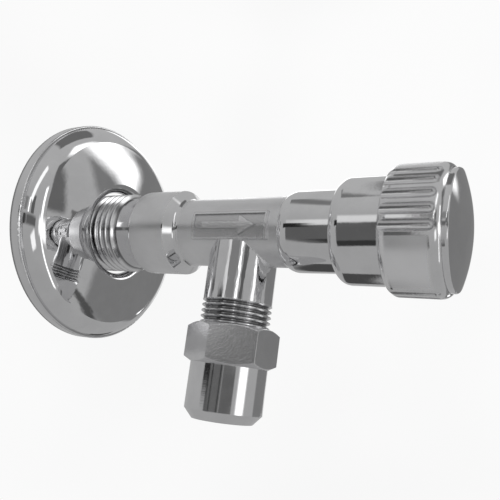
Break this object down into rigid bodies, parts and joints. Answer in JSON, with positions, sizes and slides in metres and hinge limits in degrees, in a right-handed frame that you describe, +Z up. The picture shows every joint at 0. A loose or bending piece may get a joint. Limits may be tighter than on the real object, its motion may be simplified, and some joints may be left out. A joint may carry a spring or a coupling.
{
  "type": "angle stop valve",
  "caption": "Chromed right-angle stop valve with wall escutcheon, fluted turning handle and compression outlet pointing down.",
  "frame": {"origin": "on the main axis, in the plane of the finished wall that the escutcheon rests on", "axes": "+X from the wall to the handle, +Z up with the outlet pointing down, the plaque faces -Y"},
  "size_m": [0.1107, 0.059, 0.0746],
  "materials": {
    "chrome": "polished chrome over brass casting",
    "chrome_sheet": "mirror chrome on pressed sheet",
    "chrome_handle": "polished chrome over zinc casting",
    "chrome_cap": "polished chrome cap",
    "chrome_nut": "polished skirt, grained hexagon flats",
    "brass": "machined brass",
    "rubber": "moulded rubber",
    "fibre": "vulcanised fibre",
    "polymer": "low-friction polymer",
    "steel": "stainless steel"
  },
  "bodies": {
    "root": {"valve_body": "chrome", "headwork_body": "brass", "headwork_gasket": "fibre"},
    "handle": {"handle": "chrome_handle", "handle_cap": "chrome_cap", "cap_o_ring": "rubber", "handle_screw": "steel", "handle_lock_washer": "steel", "spindle": "brass", "spindle_o_ring_inner": "rubber", "spindle_o_ring_outer": "rubber", "friction_washer": "polymer", "spindle_clip": "steel"},
    "jumper": {"valve_jumper": "brass", "jumper_o_ring": "rubber", "seat_washer": "rubber", "washer_retainer": "brass", "washer_screw": "brass"},
    "escutcheon": {"wall_escutcheon": "chrome_sheet"},
    "olive": {"compression_olive": "brass"},
    "nut": {"compression_nut": "chrome_nut"}
  },
  "joints": [
    {"name": "handle_turn", "type": "hinge", "parent": "root", "child": "handle", "pos_m": [0.0856, 0, 0], "axis": [1, 0, 0], "range_deg": [0, 1260]},
    {"name": "jumper_lift", "type": "slide", "parent": "root", "child": "jumper", "axis": [1, 0, 0], "range_m": [0, 0.00525]},
    {"name": "escutcheon_slide", "type": "slide", "parent": "root", "child": "escutcheon", "axis": [1, 0, 0], "range_m": [0, 0.03]},
    {"name": "olive_slide", "type": "slide", "parent": "root", "child": "olive", "axis": [0, 0, -1], "range_m": [0, 0.00803]},
    {"name": "nut_turn", "type": "hinge", "parent": "olive", "child": "nut", "pos_m": [0.0492, 0, -0.0277], "axis": [0, 0, -1], "range_deg": [0, 2160]}
  ],
  "couplings": [
    {"joint": "jumper_lift", "follows": "handle_turn", "m_per_rad": 0.00023873},
    {"joint": "olive_slide", "follows": "nut_turn", "m_per_rad": 0.00021279}
  ]
}
